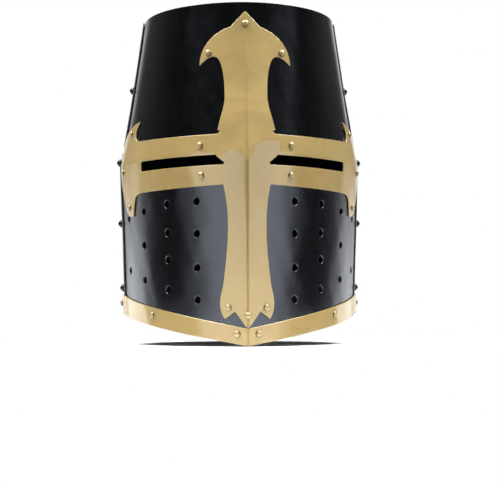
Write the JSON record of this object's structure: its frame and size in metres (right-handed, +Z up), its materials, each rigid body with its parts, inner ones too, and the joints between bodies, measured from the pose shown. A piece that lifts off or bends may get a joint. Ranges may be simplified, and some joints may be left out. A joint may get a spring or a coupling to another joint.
{
  "type": "great helm",
  "caption": "Flat-topped riveted great helm: black steel plates, keeled face with eye slits and breaths, brass cross bar, eye bands and rim trim, leather liner inside",
  "frame": {"origin": "middle of the bounding box, level with the lowest point, the front tip of the rim", "axes": "+Z up through the crown, the face looks along -Y, +X is the wearer's left"},
  "size_m": [0.2126, 0.2562, 0.281],
  "materials": {
    "black_steel": "semi-gloss black, slightly dimpled",
    "brass": "polished sheet with fine brushing",
    "liner_leather": "matt dark brown hide"
  },
  "bodies": {
    "root": {"upper_front_plate": "black_steel", "upper_back_plate": "black_steel", "lower_front_plate": "black_steel", "lower_back_plate": "black_steel", "crown_plate": "black_steel", "cross_bar": "brass", "left_eye_band": "brass", "right_eye_band": "brass", "rim_trim": "brass", "bar_rivet_top": "brass", "bar_rivet_foot": "brass", "left_bar_rivet_hook": "brass", "left_bar_rivet_foot": "brass", "left_band_rivet_over_slit": "brass", "left_band_rivet_under_slit": "brass", "left_band_rivet_upper_horn": "brass", "left_band_rivet_side": "brass", "left_band_rivet_lower_horn": "brass", "left_trim_rivet_front": "brass", "left_trim_rivet_middle": "brass", "left_trim_rivet_end": "brass", "left_seam_rivet_1": "black_steel", "left_seam_rivet_2": "black_steel", "left_seam_rivet_3": "black_steel", "left_seam_rivet_4": "black_steel", "left_back_rivet_waist": "black_steel", "left_back_rivet_liner": "black_steel", "right_bar_rivet_hook": "brass", "right_bar_rivet_foot": "brass", "right_band_rivet_over_slit": "brass", "right_band_rivet_under_slit": "brass", "right_band_rivet_upper_horn": "brass", "right_band_rivet_side": "brass", "right_band_rivet_lower_horn": "brass", "right_trim_rivet_front": "brass", "right_trim_rivet_middle": "brass", "right_trim_rivet_end": "brass", "right_seam_rivet_1": "black_steel", "right_seam_rivet_2": "black_steel", "right_seam_rivet_3": "black_steel", "right_seam_rivet_4": "black_steel", "right_back_rivet_waist": "black_steel", "right_back_rivet_liner": "black_steel", "back_rivet_waist": "black_steel", "liner_band": "liner_leather", "liner_tongue_1": "liner_leather", "liner_tongue_2": "liner_leather", "liner_tongue_3": "liner_leather", "liner_tongue_4": "liner_leather", "liner_tongue_5": "liner_leather", "liner_tongue_6": "liner_leather", "liner_tongue_7": "liner_leather", "liner_tongue_8": "liner_leather", "liner_lace": "liner_leather"}
  },
  "joints": []
}
